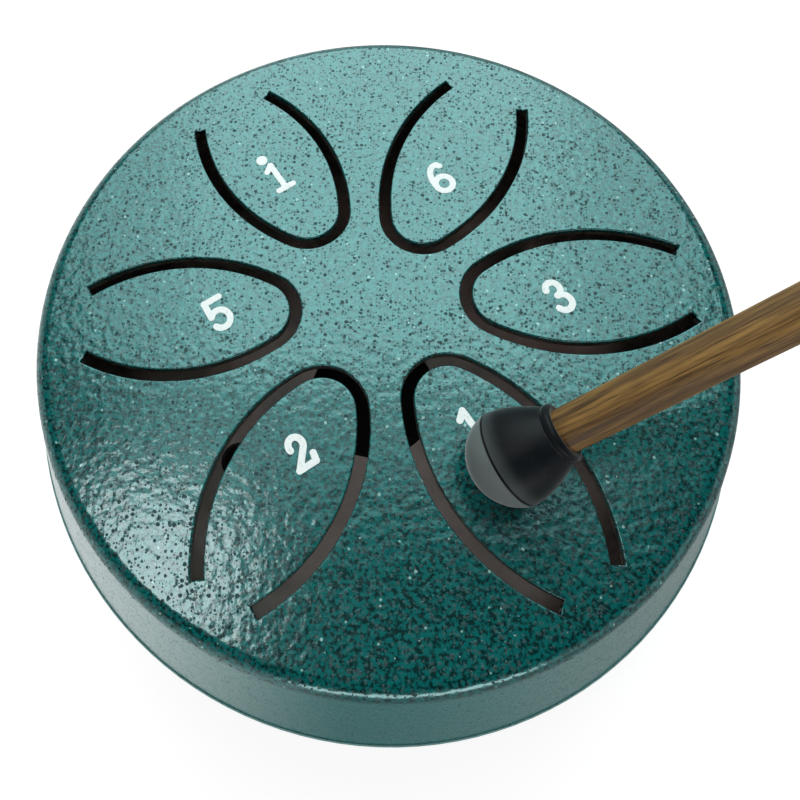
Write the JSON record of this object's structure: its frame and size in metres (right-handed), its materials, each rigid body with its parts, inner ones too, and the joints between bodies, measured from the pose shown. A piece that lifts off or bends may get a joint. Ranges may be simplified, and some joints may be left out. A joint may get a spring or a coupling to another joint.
{
  "type": "steel tongue drum",
  "caption": "Small round steel tongue drum: two welded steel dishes with tongues slit in the top face, rubber feet and a rubber-headed mallet resting over one tongue.",
  "frame": {"origin": "centre of the round sound hole on the underside of the lower dish", "axes": "+Z along the drum's axis towards the playing face; +X and +Y in the plane of the lower dish's floor, with the mallet's stick running towards +X"},
  "size_m": [0.1431, 0.0802, 0.1149],
  "materials": {
    "teal_paint": "gloss, speckled",
    "foot_rubber": "matte",
    "head_rubber": "satin",
    "stick_wood": "satin"
  },
  "bodies": {
    "drum": {"top_shell": "teal_paint", "bottom_shell": "teal_paint", "weld_bead": "teal_paint", "foot_1": "foot_rubber", "foot_2": "foot_rubber", "foot_3": "foot_rubber"},
    "mallet": {"mallet_head": "head_rubber", "mallet_stick": "stick_wood"}
  },
  "joints": [
    {"name": "mallet_strike", "type": "hinge", "parent": "drum", "child": "mallet", "pos_m": [0.08467, 0.01942, 0.09617], "axis": [-0.4321, 0.9018, 0], "range_deg": [0, 28]}
  ]
}
